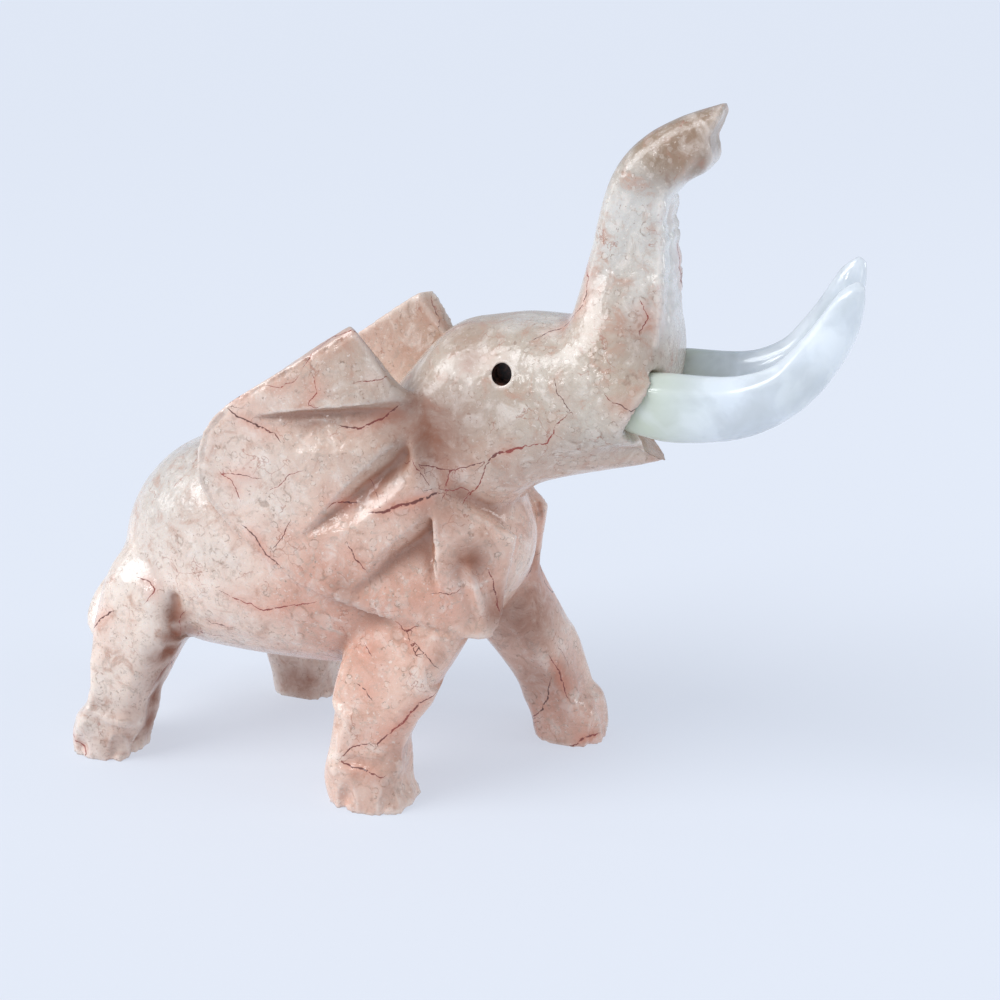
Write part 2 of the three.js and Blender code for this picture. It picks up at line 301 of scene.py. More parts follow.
def dress_ears(points):
    """Brings each ear's outer face exactly onto its bowed sheet, with the facets of its flutes."""
    spots = layout(points)
    x, y, z = spots.T
    sheet = ear_spread(x, z)
    depth = sheet - np.abs(y)
    carved = np.zeros(len(x))
    for valley, rim in FLUTES:
        carved = np.maximum(carved, facet_depth(x, z, valley, rim))
    close = step(0.9, 0.45, np.abs(depth - carved))
    inside = step(-13.5, -12, x) * step(19, 15.5, x + 0.32 * (z - 44)) * step(25, 27, z)
    low = step(45, 43, z) * step(26, 23, x) * step(14, 17, x)
    within = inside_ear(x, z)
    part = close * np.maximum(inside, low) * step(-0.3, 0.1, within)
    bevel = BEVEL * step(0.7, 0.1, within)
    aimed = np.sign(y) * (sheet - np.maximum(carved, bevel)) * UNIT
    points[:, 1] += part * (aimed - points[:, 1])
    return points


# The middle of each sole, and the turns of the gaps between its toes, outwards from straight ahead
SOLES = ((-33.6, -14.3), (-13.6, 15.2), (12, -14.8), (33.6, 14.4))
TOE_GAPS = (-38, 14, 51, 112)

# How square the limbs are carved, slice by slice, in layout units and degrees
SLICE = 2.0
CORNER = 1.36                        # how far out a corner goes, as a share of the faces' distance
EVEN = 1.05                          # the share that stays where it is
LEG_KEEN = 0.34
LEG_SKEW = 20                        # how far a leg's faces are turned
LEG_RISE = 0.12                      # how far a leg leans for each step up
LEG_REACH = 11
TRUNK_KEEN = 0.42
TRUNK_BACK = 0.1                     # the share that the back of the trunk gets


def squared(points, chosen, weight, keen, skew=0.0, back=1.0):
    """Gives a limb the flat faces and crisp corners of a carved one, slice by slice."""
    spots = layout(points)
    picked = np.flatnonzero(chosen & (weight > 0))
    level = spots[picked, 2] / SLICE
    floor_level = np.floor(level).astype(int)
    levels = np.arange(floor_level.min(), floor_level.max() + 2)
    rings = [spots[chosen & (np.abs(spots[:, 2] / SLICE - at) < 0.5)][:, :2] for at in levels]
    centres = np.array([ring.min(axis=0) + np.ptp(ring, axis=0) / 2 for ring in rings])
    row = floor_level - levels[0]
    share = (level - floor_level)[:, None]
    middle = centres[row] * (1 - share) + centres[row + 1] * share
    out = spots[picked, :2] - middle
    turn = np.arctan2(out[:, 1], out[:, 0])
    faced = turn + math.radians(skew)
    square = 1 / np.maximum(np.abs(np.cos(faced)), np.abs(np.sin(faced)))
    ahead = step(-0.4, 0.4, np.cos(turn))
    keenness = keen * (back + (1 - back) * ahead) * weight[picked]
    out *= (keenness * (np.minimum(square, CORNER) - EVEN))[:, None]
    points[picked, :2] += out * UNIT
    return points


def square_limbs(points):
    """Squares the four legs and the front of the trunk."""
    x, y, z = layout(points).T
    for middle_x, middle_y in SOLES:
        lean = LEG_RISE * z * np.sign(8 - middle_x)
        own = (np.abs(x - middle_x - lean) < LEG_REACH) & (y * middle_y > 0) & (z < 27)
        weight = step(3, 7, z) * step(26, 15, z)
        points = squared(points, own, weight, LEG_KEEN, skew=LEG_SKEW * np.sign(middle_y))
    own = (x > 36) & (z > 66)
    weight = step(71, 77, z) * step(96, 91, z)
    return squared(points, own, weight, TRUNK_KEEN, back=TRUNK_BACK)


# The small waves along the front of the trunk, in layout units
WAVE_LENGTH = 2.3
WAVE_HEIGHT = 0.34
WAVE_SINK = 0.2                      # how far the whole row is set back
WAVE_DRIFT = 0.45                    # how far a wave strays from its even place


def dress_trunk(points, normals):
    """Cuts the row of small waves along the front of the trunk."""
    x, y, z = layout(points).T
    front = step(0.35, 0.8, normals[:, 0]) * step(70, 74, z) * step(93, 90, z) * (x > 44)
    wave = np.abs(np.sin(math.pi * (z + WAVE_DRIFT * np.sin(0.83 * z)) / WAVE_LENGTH))
    uneven = 0.7 + 0.3 * np.sin(1.37 * z + 1.1)
    points[:, 0] += front * (WAVE_HEIGHT * wave * uneven - WAVE_SINK) * UNIT
    return points


# The gaps between the toes, in layout units and degrees
GAP_TURN = 13                        # half the width of a gap's scoop
GAP_HEIGHT = 4.4
GAP_DEPTH = 0.34
FILL_TURN = 9                        # half the width of the stone left under a gap
FILL_DEPTH = 0.6
GAP_RIM = 0.22
ANKLE_RIM = 0.22                     # the raised edge over the toes
ANKLE_CUT = 0.2                      # and the groove above it


def dress_feet(points, normals):
    """Cuts the gaps between the toes, and raises the edge where each foot meets its ankle."""
    x, y, z = layout(points).T
    lift = np.zeros(len(x))
    for middle_x, middle_y in SOLES:
        ahead = x - middle_x
        aside = (y - middle_y) * np.sign(middle_y)
        here = step(11.5, 10, np.hypot(ahead, aside)) * step(12, 9, z)
        turn = np.degrees(np.arctan2(aside, ahead))
        outer = step(-75, -55, turn) * step(150, 130, turn)
        for gap in TOE_GAPS:
            round_gap = ((turn - gap) / GAP_TURN) ** 2 + (z / GAP_HEIGHT) ** 2
            scoop = np.sqrt(np.clip(1 - round_gap, 0, 1)) * step(0.4, 2.2, z)
            fill = near(turn, gap, FILL_TURN) * step(2.2, 0.4, z)
            rim = near(round_gap, 1.5, 0.45) * (z < 6)
            lift += here * (FILL_DEPTH * fill + GAP_RIM * rim - GAP_DEPTH * scoop)
        lift += here * outer * (ANKLE_RIM * near(z, 6.4, 1.0) - ANKLE_CUT * near(z, 8.8, 1.3))
    points += normals * (lift * UNIT)[:, None]
    return points


FOLD_STEPS = 12                      # points along each stretch of a fold
FOLD_REACH = 30 * MM                 # vertices farther from a fold's middle are left alone

# Folds and ridges seen in the photograph: the lift and half width in millimetres (a cut is negative),
# whether the other side has the same, and pixels along them
FOLDS = (
    (-1.1, 1.5, False, ((174, 598), (175, 620), (172, 640), (166, 655))),
    (0.75, 0.9, False, ((88, 709), (100, 716), (113, 722), (128, 724))),
    (-0.35, 1.0, False, ((90, 717), (102, 724), (116, 730))),
    (0.6, 0.8, False, ((330, 757), (350, 752), (375, 756), (400, 764), (416, 760))),
    (-0.35, 0.9, False, ((332, 766), (352, 763), (378, 768), (402, 776))),
    (0.7, 0.9, True, ((470, 570), (480, 600), (490, 634))),
    (-0.7, 1.4, True, ((458, 572), (466, 598), (476, 622))),
    (0.9, 0.9, True, ((663, 205), (662, 240), (661, 280), (659, 315), (655, 345))),
    (-0.7, 0.9, True, ((671, 208), (672, 245), (671, 285), (668, 320))),
    (-0.6, 1.0, True, ((676, 197), (684, 190), (690, 182))),
    (0.35, 0.8, False, ((560, 706), (575, 704), (590, 700), (602, 698))),
)


def carve_folds(points, mesh, camera):
    """Raises the ridges and cuts the folds of the photograph into the stone."""
    tree = BVHTree.FromPolygons(points.tolist(), [tuple(face.vertices) for face in mesh.polygons])
    normals = normals_of(mesh)
    lift = np.zeros(len(points))
    for rise, width, both, pixels in FOLDS:
        hits = [tree.ray_cast(camera.location, view_ray(camera, pixel))[0] for pixel in pixels]
        hits = [hit for hit in hits if hit]
        if len(hits) < 2:
            continue
        steps = range(FOLD_STEPS + 1)
        line = [a.lerp(b, i / FOLD_STEPS) for a, b in zip(hits, hits[1:]) for i in steps]
        for side in (1, -1) if both else (1,):
            rail = np.array(line) * (1, side, 1)
            away = np.full(len(points), np.inf)
            close = np.flatnonzero(np.linalg.norm(points - rail.mean(axis=0), axis=1) < FOLD_REACH)
            gaps = np.linalg.norm(points[close, None] - rail[None], axis=2)
            away[close] = gaps.min(axis=1) / (width * MM)
            lift += rise * np.exp(-away ** 2)
    return points + normals * (lift * MM)[:, None]


# The slope of the lower lip, in layout units
LIP_START = 45.6
LIP_HEIGHT = 55.4
LIP_TOP = 56.5
LIP_FALL = 0.8


def point_lip(points):
    """Slopes the top of the lower lip down to its point."""
    x, y, z = layout(points).T
    slope = LIP_HEIGHT - LIP_FALL * (x - LIP_START)
    lip = step(5, 3.5, np.abs(y)) * (x > LIP_START) * (z < LIP_TOP) * (z > slope)
    points[:, 2] += lip * (slope - z) * UNIT
    return points


def drill_eyes(piece, inside):
    """Drills the two blind eye holes, lined with the given material."""
    made = bmesh.new()
    middle = EYE_FLOOR + EYE_LENGTH / 2
    for side in (-1, 1):
        cone = bmesh.ops.create_cone(
            made, cap_ends=True, segments=40, radius1=EYE_RADIUS, radius2=EYE_RADIUS, depth=EYE_LENGTH)
        for vertex in cone["verts"]:
            across, up, along = vertex.co
            vertex.co = Vector((EYE_X + across, side * (middle + along), EYE_Z + up))
    bmesh.ops.recalc_face_normals(made, faces=made.faces)
    mesh = bpy.data.meshes.new("eye_drill")
    made.to_mesh(mesh)
    made.free()
    mesh.materials.append(inside)
    drill = bpy.data.objects.new("eye_drill", mesh)
    bpy.context.scene.collection.objects.link(drill)
    cut = piece.modifiers.new("drill", "BOOLEAN")
    cut.operation = "DIFFERENCE"
    cut.solver = "EXACT"
    cut.object = drill
    cut.material_mode = "TRANSFER"
    shown = piece.evaluated_get(bpy.context.evaluated_depsgraph_get())
    drilled = bpy.data.meshes.new_from_object(shown)
    piece.modifiers.clear()
    piece.data = drilled
    bpy.data.objects.remove(drill)


def eye_plug(side):
    """Fills a drilled eye before the mesh is refined, so that it can be drilled cleanly afterwards."""
    def fill(work):
        tree = BVHTree.FromBMesh(work)
        outside = Vector((EYE_X, side * 30 * UNIT, EYE_Z))
        levels = []
        for turn in range(8):
            angle = turn * math.pi / 4
            around = Vector((math.cos(angle), 0, math.sin(angle)))
            hit = tree.ray_cast(outside + around * PLUG_RADIUS * 1.15, Vector((0, -side, 0)))[0]
            levels.append(abs(hit.y))
        middle = sum(levels) / len(levels) - PLUG_LENGTH / 2
        cone = bmesh.ops.create_cone(
            work, cap_ends=True, segments=24, radius1=PLUG_RADIUS, radius2=PLUG_RADIUS, depth=PLUG_LENGTH)
        for vertex in cone["verts"]:
            across, up, along = vertex.co
            vertex.co = Vector((EYE_X + across, side * (middle + along), EYE_Z + up))
    return fill


def carved_body(camera):
    """The elephant, refined and polished."""
    piece = dense_copy("elephant", "stone_elephant", STONE_CELL, [eye_plug(-1), eye_plug(1)])
    mesh = piece.data
    points = points_of(mesh)
    web = Web(mesh)
    weight = polish_weight(layout(points))
    sole = points[:, 2] < SOLE_LAYER
    weight[sole] *= SOLE_POLISH
    points = smooth_form(points, web, weight, STONE_ROUNDS)
    points = dress_ears(points)
    points = square_limbs(points)
    put_points(mesh, points)
    points = dress_trunk(points, normals_of(mesh))
    points = dress_feet(points, normals_of(mesh))
    points = point_lip(points)
    put_points(mesh, points)
    points = carve_folds(points, mesh, camera)
    points[:, 2] = np.maximum(points[:, 2], 0)
    put_points(mesh, points)
    shade_smooth(mesh)
    return piece


# Veins seen in the photograph: their width in millimetres, how far they redden the stone,
# and pixels along them
VEINS = (
    (0.42, 0.6, ((228, 409), (242, 418), (262, 427), (280, 441))),
    (0.5, 0.5, ((340, 425), (360, 428), (382, 419), (401, 405))),
    (0.22, 0.2, ((353, 383), (372, 379), (390, 379))),
    (0.25, 0.6, ((314, 375), (318, 392), (310, 403), (318, 407))),
    (0.3, 0.2, ((405, 463), (432, 467), (450, 471), (470, 468), (490, 459))),
    (0.75, 0.4, ((488, 460), (500, 453), (512, 449), (524, 446))),
    (0.3, 0.2, ((524, 446), (545, 443), (552, 436), (556, 426), (566, 416))),
    (0.28, 0.3, ((450, 471), (446, 490), (442, 500))),
    (0.32, 0.1, ((444, 492), (462, 489), (471, 495), (480, 484), (487, 466), (493, 459))),
    (0.75, 0.9, ((370, 512), (385, 512), (400, 506), (420, 500), (440, 494))),
    (0.35, 0.8, ((327, 508), (333, 503), (345, 501), (360, 502))),
    (0.25, 0.4, ((345, 541), (355, 556), (367, 572))),
    (0.42, 0.7, ((243, 525), (255, 537), (265, 552), (281, 567))),
    (0.25, 0.3, ((272, 548), (284, 534), (290, 521))),
    (0.3, 0.6, ((217, 591), (240, 600), (262, 610), (290, 605), (315, 602))),
    (0.55, 0.8, ((437, 691), (420, 703), (402, 722), (385, 738), (378, 746))),
    (0.28, 0.5, ((357, 685), (365, 692), (372, 700))),
    (0.4, 0.5, ((338, 760), (352, 766), (365, 771), (385, 776), (422, 779))),
    (0.3, 0.4, ((341, 758), (352, 748), (362, 746), (373, 746))),
    (0.28, 0.4, ((364, 643), (368, 650), (372, 657))),
    (0.25, 0.4, ((410, 640), (425, 655), (438, 668), (452, 673))),
    (0.6, 0.9, ((571, 746), (582, 738), (600, 733))),
    (0.35, 0.6, ((548, 655), (560, 672), (568, 698))),
    (0.42, 0.3, ((489, 571), (494, 590), (500, 612))),
    (0.45, 0.6, ((94, 628), (103, 618), (114, 611))),
    (0.3, 0.6, ((138, 577), (150, 581), (155, 590), (146, 602))),
    (0.28, 0.5, ((606, 395), (612, 403), (625, 407), (645, 404), (657, 394))),
    (0.3, 0.5, ((396, 621), (405, 631), (418, 626))),
    (0.3, 0.5, ((405, 631), (412, 645), (420, 657))),
    (0.25, 0.5, ((218, 470), (232, 480), (240, 500))),
    (0.22, 0.4, ((640, 300), (648, 318), (640, 336))),
)
SEEDED_VEINS = 70
SEEN_SIDE = np.array([0.3, -0.9, 0.3])

# How a vein runs, in millimetres
VEIN_STEP = 0.5
VEIN_DRIFT = 0.13                    # how far it strays at each step
VEIN_KEEP = 0.8                      # the share of its straying that it keeps
VEIN_THIN = 0.35                     # the share of its width that its ends keep
RED_REACH = 1.6                      # how far the stone beside it is reddened
ASIDE_LIMIT = 4


def traced_veins(tree, camera):
    """The veins of the photograph, laid on the stone along the camera's rays."""
    for width, red, pixels in VEINS:
        line = []
        for pixel in pixels:
            hit = tree.ray_cast(camera.location, view_ray(camera, pixel))[0]
            if hit:
                line.append(hit)
        if len(line) > 1:
            yield width, red, line


def seeded_veins(tree, points, normals, draw):
    """Veins like those for the sides that the photograph hides: short wandering walks over the surface."""
    for _ in range(SEEDED_VEINS):
        start = int(draw.integers(len(points)))
        seen = normals[start] @ SEEN_SIDE > 0.2
        steps = 3 if seen else int(draw.integers(4, 10))
        width = float(draw.uniform(0.14, 0.22) if seen else draw.uniform(0.2, 0.5))
        facing = Vector(normals[start])
        heading = facing.orthogonal()
        heading = (heading + facing.cross(heading) * float(draw.uniform(-3, 3))).normalized()
        line = [Vector(points[start])]
        for _ in range(steps):
            turn = float(draw.normal(0, 0.45))
            heading = (heading + facing.cross(heading) * turn).normalized()
            ahead = line[-1] + heading * float(draw.uniform(2, 4)) * MM
            place, facing = tree.find_nearest(ahead)[:2]
            heading = (heading - facing * heading.dot(facing)).normalized()
            line.append(place)
        yield width, float(draw.uniform(0.1, 0.7)), line


def dense_line(tree, line, draw):
    """Points close together along a vein, jittered, on the surface."""
    dense = []
    drift = 0.0
    for start, end in zip(line, line[1:]):
        count = max(int((end - start).length / (VEIN_STEP * MM)), 1)
        facing = tree.find_nearest(start)[1]
        aside = facing.cross((end - start)).normalized()
        for i in range(count):
            drift = VEIN_KEEP * drift + float(draw.normal(0, VEIN_DRIFT))
            place = start.lerp(end, i / count) + aside * drift * MM
            dense.append(tree.find_nearest(place)[0])
    dense.append(tree.find_nearest(line[-1])[0])
    return dense


def vein_marks(tree, veins, draw):
    """Points along all veins: place, direction, side, width, redness, and -1 or 1 at a vein's ends."""
    marks = []
    for width, red, line in veins:
        dense = dense_line(tree, line, draw)
        last = len(dense) - 1
        for i, place in enumerate(dense):
            ahead = (dense[min(i + 1, last)] - dense[max(i - 1, 0)]).normalized()
            aside = tree.find_nearest(place)[1].cross(ahead).normalized()
            swell = math.sin(math.pi * (i / last)) ** 0.5
            uneven = float(draw.uniform(0.75, 1.15))
            wide = width * (VEIN_THIN + (1 - VEIN_THIN) * swell) * uneven
            end = -1 if i == 0 else 1 if i == last else 0
            marks.append((place, ahead, aside, wide, red * swell, end))
    return marks


def nearest_marks(places, points):
    """The nearest of the places to each point, and how far away it is."""
    finder = KDTree(len(places))
    for i, place in enumerate(places):
        finder.insert(place, i)
    finder.balance()
    found = [finder.find(point)[1:] for point in points]
    index = np.array([i for i, _ in found])
    return index, np.array([distance for _, distance in found])


def paint_veins(piece, camera):
    """Stores how far aside of the nearest vein each vertex lies, that vein's width and its redness."""
    mesh = piece.data
    points = points_of(mesh)
    normals = normals_of(mesh)
    tree = BVHTree.FromPolygons(points.tolist(), [tuple(face.vertices) for face in mesh.polygons])
    draw = np.random.default_rng(11)
    veins = list(traced_veins(tree, camera)) + list(seeded_veins(tree, points, normals, draw))
    columns = zip(*vein_marks(tree, veins, draw))
    places, alongs, sides, widths, reds, ends = (np.array(column) for column in columns)
    index, away = nearest_marks(places, points)
    away = away / MM
    gap = (points - places[index]) / MM
    aside = np.einsum("ij,ij->i", gap, sides[index])
    beyond = np.maximum(np.einsum("ij,ij->i", gap, alongs[index]) * ends[index], 0)
    width = widths[index] * step(0.6, 0.0, beyond) * step(3.2, 2.4, away)
    store(mesh, "vein_aside", np.clip(aside, -ASIDE_LIMIT, ASIDE_LIMIT))
    store(mesh, "vein_width", width)
    store(mesh, "vein_red", reds[index] * np.exp(-away / RED_REACH))


# Darker, redder places, partly stains of the stone and partly painted shade in creases, in folds and on
# faces turned from the light: a pixel of the photograph, the radius in millimetres and the strength
STAINS_AND_SHADE = (
    ((430, 432), 10, 0.9), ((415, 402), 4, 0.8), ((455, 415), 9, 0.5), ((500, 610), 6, 0.8),
    ((530, 615), 11, 0.8), ((556, 680), 7, 0.5), ((169, 652), 5.5, 1.0), ((162, 672), 5.5, 1.0),
    ((154, 695), 5, 1.0), ((149, 720), 5, 1.0), ((174, 615), 3.5, 0.9), ((176, 636), 4, 1.0),
    ((345, 590), 5, 0.4), ((440, 505), 8, 0.45), ((425, 460), 6, 0.6), ((560, 590), 6, 0.3),
    ((300, 681), 8, 0.8), ((380, 780), 9, 0.3), ((110, 735), 9, 0.3), ((470, 360), 4, 0.5),
    ((640, 335), 6, 0.3), ((395, 470), 8, 0.3), ((690, 150), 9, 0.3), ((470, 560), 5, 0.9),
    ((440, 440), 8, 0.6), ((540, 680), 8, 0.5), ((502, 372), 3.2, 1.0), ((470, 345), 7, 0.25),
    ((675, 260), 2.5, 0.4), ((672, 300), 2.5, 0.4),
)
# Stains and painted shade alike are mirrored at this share.
FAR_SIDE = 0.6                       # the share of a stain on the side that isn't seen


def paint_stains_and_shade(piece, camera):
    """Stores how darkened each vertex is, by stains of the stone and by painted shade, on the side that is
    seen and fainter on the other.
    """
    mesh = piece.data
    points = points_of(mesh)
    tree = BVHTree.FromPolygons(points.tolist(), [tuple(face.vertices) for face in mesh.polygons])
    stain_and_shade = np.zeros(len(points))
    for pixel, radius, strength in STAINS_AND_SHADE:
        hit = tree.ray_cast(camera.location, view_ray(camera, pixel))[0]
        if hit:
            for side, share in ((1, 1), (-1, FAR_SIDE)):
                middle = np.array((hit.x, hit.y * side, hit.z))
                away = np.linalg.norm(points - middle, axis=1) / (radius * MM)
                stain_and_shade = np.maximum(stain_and_shade, strength * share * np.exp(-away ** 2))
    store(mesh, "stain_and_shade", stain_and_shade)


# How many rounds of averaging tell the broad form, and the close one, from the relief on it
BROAD_ROUNDS = 60
CLOSE_ROUNDS = 4
AVERAGING = 0.7


def paint_relief(piece):
    """Stores how hollow and how sharp each place is, for painted shade in the hollows and painted
    highlights on the ridges, and the front of the trunk, to be painted paler as if lit.
    """
    mesh = piece.data
    points = points_of(mesh)
    normals = normals_of(mesh)
    web = Web(mesh)
    part = np.full(len(points), AVERAGING)
    broad = web.relax(points, part, BROAD_ROUNDS)
    close = web.relax(points, part, CLOSE_ROUNDS)
    hollow = -np.einsum("ij,ij->i", points - broad, normals) / MM
    ridge = np.einsum("ij,ij->i", points - close, normals) / MM
    x, y, z = layout(points).T
    depth = ear_spread(x, z) - np.abs(y)
    inner = step(1.8, 2.6, depth) * (inside_ear(x, z) > 0) * step(55, 58, z) * step(14, 10, x)
    # Painted shade: the hollow measure darkens the stone in the hollows, except deep inside the top flute
    # of each ear.
    store(mesh, "hollow", web.relax(hollow, part, 2) * (1 - inner))
    # Painted highlight: the sharpness pales the stone along the ridges.
    store(mesh, "ridge", web.relax(ridge, part, 1))
    # Painted light: the forward-facing front of the trunk, where the light from the right falls, is stored
    # to be painted paler.
    lit_trunk_front = step(44, 46, x) * step(68, 73, z) * step(95, 91, z) * step(0.45, 0.75, normals[:, 0])
    store(mesh, "pale", web.relax(lit_trunk_front, part, 3))


def store(mesh, name, values):
    """Keeps one number per vertex for the material."""
    field = mesh.attributes.new(name, "FLOAT", "POINT")
    field.data.foreach_set("value", np.asarray(values, dtype=np.float32))


def fine_tusk(node_name, name):
    """A tusk, refined and polished."""
    piece = dense_copy(node_name, name, TUSK_CELL)
    mesh = piece.data
    points = points_of(mesh)
    web = Web(mesh)
    points = smooth_form(points, web, np.full(len(points), POLISH), TUSK_ROUNDS)
    put_points(mesh, points)
    normals = normals_of(mesh)
    outer = (normals[:, 1] * points[:, 1] > 0) * near(normals[:, 2], 0.36, 0.16)
    points[:, 1] += np.sign(points[:, 1]) * outer * TUSK_RIDGE
    put_points(mesh, points)
    shade_smooth(mesh)
    return piece


# Colours of the materials as displayed, from 0 to 255
CLOUD_PLACES = (0.36, 0.5, 0.64)
PINK = ((212, 160, 138), (224, 187, 167), (228, 202, 184))
PALE = ((228, 196, 178), (233, 212, 196), (230, 216, 204))
BEIGE = ((170, 145, 122), (185, 166, 147), (198, 186, 171))
# Grey of the trunk, partly its own tone and partly a painted sheen
TRUNK_GREY_AND_SHEEN = ((186, 175, 160), (207, 202, 194), (221, 219, 215))
# Painted sheen on the top of the rump
RUMP_SHEEN = (196, 186, 175)
TRUNK_TIP = (150, 129, 105)
# Painted light on the front of the trunk
TRUNK_FRONT_LIGHT = (236, 234, 230)
MOTTLE_LIGHT = (240, 228, 216)
MOTTLE_DARK = (186, 142, 120)
SMOKE = (184, 164, 148)
SHELL_INSIDE = (228, 214, 200)
SHELL_RING = (142, 114, 96)
CRACK = (158, 92, 70)
SPECK_DARK = (134, 102, 84)
SPECK_LIGHT = (244, 234, 222)
# Stains of the stone, also used as painted shade
STAIN_AND_SHADE = (138, 84, 60)
# Painted shade for the hollows
HOLLOW_SHADE = (158, 106, 82)
# Painted highlight for the sharp ridges
EDGE_HIGHLIGHT = (246, 232, 220)
VEIN_HALO = (214, 128, 100)
VEIN_PLACES = (0.4, 0.6)
VEIN = ((84, 40, 30), (146, 54, 40))
HOLE_PLACES = (0.4, 0.62)
HOLE = ((24, 14, 11), (84, 50, 38))
ONYX_PLACES = (0.38, 0.5, 0.62)
ONYX = ((202, 207, 210), (208, 213, 217), (220, 225, 229))
ONYX_ROOT = (198, 204, 182)
ONYX_WISP = (232, 236, 237)

# Each size of fossil shell: how many to a millimetre, a seed and the strength
SHELLS = ((0.16, 0, 0.55), (0.3, 40, 0.65), (0.52, 90, 0.7))

# The shaders' own values
STONE_LOOK = {
    "Subsurface Weight": 0.06,
    "Subsurface Radius": (1.0, 0.55, 0.35),
    "Subsurface Scale": 1.2 * MM,
    "Coat Roughness": 0.08,
}
ONYX_LOOK = {
    "Roughness": 0.14,
    "Subsurface Weight": 0.85,
    "Subsurface Radius": (1.0, 1.0, 0.95),
    "Subsurface Scale": 7 * MM,
    "Coat Weight": 0.4,
    "Coat Roughness": 0.05,
}
HOLE_LOOK = {"Roughness": 0.5}
FLOOR_LOOK = {
    "Base Color": (0.3, 0.31, 0.32, 1),
    "Roughness": 0.6,
    "Specular IOR Level": 0.0,
    "Emission Color": (0.9, 0.96, 1.1, 1),
    "Emission Strength": 0.525,
}

# The sockets of a node that mixes colours
MIX_FACTOR, MIX_UNDER, MIX_OVER, MIX_RESULT = 0, 6, 7, 2


def shader(name, look):
    """A new material with its shader set as given."""
    material = bpy.data.materials.new(name)
    material.use_nodes = True
    tree = material.node_tree
    tree.nodes.clear()
    output = tree.nodes.new("ShaderNodeOutputMaterial")
    surface = tree.nodes.new("ShaderNodeBsdfPrincipled")
    for socket, value in look.items():
        surface.inputs[socket].default_value = value
    tree.links.new(surface.outputs["BSDF"], output.inputs["Surface"])
    return material, tree, surface


def node(tree, kind, inputs=None, **settings):
    """A node with its settings, its inputs given as values or as outputs of other nodes."""
    made = tree.nodes.new(kind)
    for key, value in settings.items():
        setattr(made, key, value)
    for key, value in (inputs or {}).items():
        socket = made.inputs[key]
        if isinstance(value, bpy.types.NodeSocket):
            tree.links.new(value, socket)
        else:
            socket.default_value = value
    return made


def arithmetic(tree, operation, *values):
    """One arithmetic step."""
    return node(tree, "ShaderNodeMath", dict(enumerate(values)), operation=operation).outputs["Value"]


def times(tree, a, b):
    """Multiplies."""
    return arithmetic(tree, "MULTIPLY", a, b)


def plus(tree, a, b):
    """Adds."""
    return arithmetic(tree, "ADD", a, b)


def vectors(tree, operation, *values):
    """One step of arithmetic with places."""
    made = node(tree, "ShaderNodeVectorMath", dict(enumerate(values)), operation=operation)
    return made.outputs[0]


def span(tree, value, low, high):
    """Maps low to 0 and high to 1, softly."""
    inputs = {"Value": value, "From Min": low, "From Max": high}
    return node(tree, "ShaderNodeMapRange", inputs, interpolation_type="SMOOTHSTEP").outputs["Result"]


def light(colour):
    """A displayed colour as amounts of light."""
    shares = [value / 255 for value in colour]
    return tuple(part / 12.92 if part <= 0.04045 else ((part + 0.055) / 1.055) ** 2.4 for part in shares)


def ramp(tree, value, places, colours):
    """A ramp through displayed colours at the given places."""
    made = node(tree, "ShaderNodeValToRGB", {"Fac": value})
    elements = made.color_ramp.elements
    elements.remove(elements[1])
    for i, (place, colour) in enumerate(zip(places, colours)):
        element = elements[0] if i == 0 else elements.new(place)
        element.position = place
        element.color = (*light(colour), 1)
    return made.outputs["Color"]


def blend(tree, factor, under, over):
    """Lays a colour over another. The upper one is a displayed colour or the output of a node."""
    if not isinstance(over, bpy.types.NodeSocket):
        over = (*light(over), 1)
    inputs = {MIX_FACTOR: factor, MIX_UNDER: under, MIX_OVER: over}
    return node(tree, "ShaderNodeMix", inputs, data_type="RGBA").outputs[MIX_RESULT]


def tinted(tree, colour, mask, strength, over):
    """Lays a colour over another, with the given strength, where the mask is high."""
    return blend(tree, times(tree, mask, strength), colour, over)


def noise(tree, place, scale, detail=4, rough=0.55, warp=0.0):
    """Smooth noise, its scale per millimetre."""
    inputs = {"Vector": place, "Scale": scale, "Detail": detail, "Roughness": rough, "Distortion": warp}
    return node(tree, "ShaderNodeTexNoise", inputs)


def moved(tree, grid, scale, far, detail=3):
    """Places shifted by noise, for wandering patterns."""
    wander = noise(tree, grid, scale, detail, 0.6).outputs["Color"]
    return vectors(tree, "MULTIPLY_ADD", wander, (far, far, far), grid)


def cells(tree, place, scale, feature="F1"):
    """Voronoi cells of one size."""
    return node(tree, "ShaderNodeTexVoronoi", {"Vector": place, "Scale": scale}, feature=feature)


def field(tree, name):
    """A number stored on the mesh."""
    return node(tree, "ShaderNodeAttribute", attribute_name=name).outputs["Fac"]


def spot(tree):
    """Each place on the piece, in metres and in millimetres."""
    place = node(tree, "ShaderNodeTexCoord").outputs["Object"]
    return place, vectors(tree, "MULTIPLY", place, (1 / MM, 1 / MM, 1 / MM))


